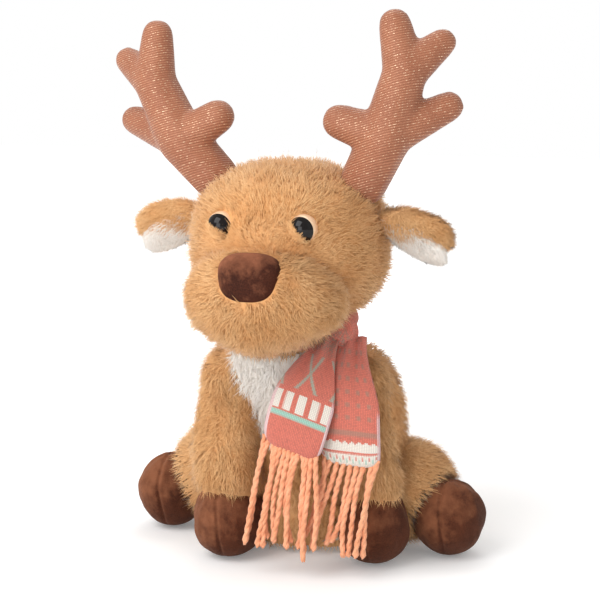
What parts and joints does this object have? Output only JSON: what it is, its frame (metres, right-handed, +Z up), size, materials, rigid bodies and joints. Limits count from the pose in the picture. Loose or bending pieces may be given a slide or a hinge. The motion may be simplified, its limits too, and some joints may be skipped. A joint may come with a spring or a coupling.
{
  "type": "plush deer",
  "caption": "Sitting plush deer with stuffed antlers, fur-covered body, velour hooves and a fringed knitted scarf.",
  "frame": {"origin": "on the flat underside of the seat, in the plane that the toy sits on", "axes": "+Z up, the deer looks along -Y, its left side is +X"},
  "size_m": [0.208, 0.1708, 0.2979],
  "materials": {
    "tan_fur": "long soft pile, combed",
    "white_fur": "long soft pile",
    "brown_velour": "short dense pile with a soft sheen",
    "glitter_knit": "fine diagonal rib with metallic thread",
    "scarf_knit": "fine flat knit with a printed pattern",
    "fringe_yarn": "twisted soft yarn",
    "black_bead": "polished dome",
    "washer_plastic": "plain moulded",
    "polyester_filling": "loose fibre",
    "pouch_cloth": "plain weave"
  },
  "bodies": {
    "torso": {"body_cover": "tan_fur", "body_stuffing": "polyester_filling", "bean_pouch": "pouch_cloth", "chest_bib": "white_fur", "scarf_loop": "scarf_knit", "scarf_knot": "scarf_knit"},
    "head": {"head_cover": "tan_fur", "muzzle_cover": "tan_fur", "nose": "brown_velour", "head_stuffing": "polyester_filling", "eye_left": "black_bead", "eye_right": "black_bead", "eye_washer_left": "washer_plastic", "eye_washer_right": "washer_plastic"},
    "ear_left": {"ear_back_left": "tan_fur", "ear_lining_left": "white_fur"},
    "antler_left": {"antler_left": "glitter_knit"},
    "front_leg_left": {"front_leg_left": "tan_fur", "front_hoof_left": "brown_velour"},
    "rear_leg_left": {"rear_leg_left": "tan_fur", "rear_hoof_left": "brown_velour"},
    "ear_right": {"ear_back_right": "tan_fur", "ear_lining_right": "white_fur"},
    "antler_right": {"antler_right": "glitter_knit"},
    "front_leg_right": {"front_leg_right": "tan_fur", "front_hoof_right": "brown_velour"},
    "rear_leg_right": {"rear_leg_right": "tan_fur", "rear_hoof_right": "brown_velour"},
    "tail": {"tail": "tan_fur"},
    "scarf_ends": {"scarf_tail_front": "scarf_knit", "scarf_tail_back": "scarf_knit", "fringe_front": "fringe_yarn", "fringe_back": "fringe_yarn"}
  },
  "joints": [
    {"name": "head_turn", "type": "hinge", "parent": "torso", "child": "head", "pos_m": [0, -0.01, 0.14], "axis": [0, 0, 1], "range_deg": [-12, 12], "stiffness_Nm_per_rad": 0.3},
    {"name": "ear_left_flap", "type": "hinge", "parent": "head", "child": "ear_left", "pos_m": [0.05, -0.0195, 0.187], "axis": [0, 1, 0], "range_deg": [-10, 12], "stiffness_Nm_per_rad": 0.06},
    {"name": "antler_left_tilt", "type": "hinge", "parent": "head", "child": "antler_left", "pos_m": [0.042, -0.022, 0.208], "axis": [0, 1, 0], "range_deg": [-8, 8], "stiffness_Nm_per_rad": 0.3},
    {"name": "front_leg_left_swing", "type": "hinge", "parent": "torso", "child": "front_leg_left", "pos_m": [0.0364, -0.0153, 0.0965], "axis": [0, -1, 0], "range_deg": [-12, 2], "stiffness_Nm_per_rad": 0.3},
    {"name": "rear_leg_left_lift", "type": "hinge", "parent": "torso", "child": "rear_leg_left", "pos_m": [0.057, 0.0153, 0.0335], "axis": [0, -1, 0], "range_deg": [0, 20], "stiffness_Nm_per_rad": 0.3},
    {"name": "ear_right_flap", "type": "hinge", "parent": "head", "child": "ear_right", "pos_m": [-0.05, -0.0195, 0.187], "axis": [0, -1, 0], "range_deg": [-10, 12], "stiffness_Nm_per_rad": 0.06},
    {"name": "antler_right_tilt", "type": "hinge", "parent": "head", "child": "antler_right", "pos_m": [-0.042, -0.022, 0.208], "axis": [0, -1, 0], "range_deg": [-8, 8], "stiffness_Nm_per_rad": 0.3},
    {"name": "front_leg_right_swing", "type": "hinge", "parent": "torso", "child": "front_leg_right", "pos_m": [-0.034, -0.017, 0.0965], "axis": [0, 1, 0], "range_deg": [0, 12], "stiffness_Nm_per_rad": 0.3},
    {"name": "rear_leg_right_lift", "type": "hinge", "parent": "torso", "child": "rear_leg_right", "pos_m": [-0.057, 0.0153, 0.0335], "axis": [0, 1, 0], "range_deg": [0, 20], "stiffness_Nm_per_rad": 0.3},
    {"name": "tail_wag", "type": "hinge", "parent": "torso", "child": "tail", "pos_m": [0, 0.0475, 0.042], "axis": [0, 0, 1], "range_deg": [-20, 20], "stiffness_Nm_per_rad": 0.03},
    {"name": "scarf_ends_swing", "type": "hinge", "parent": "torso", "child": "scarf_ends", "pos_m": [0.0315, -0.026, 0.1295], "axis": [-1, 0, 0], "range_deg": [0, 28]}
  ]
}
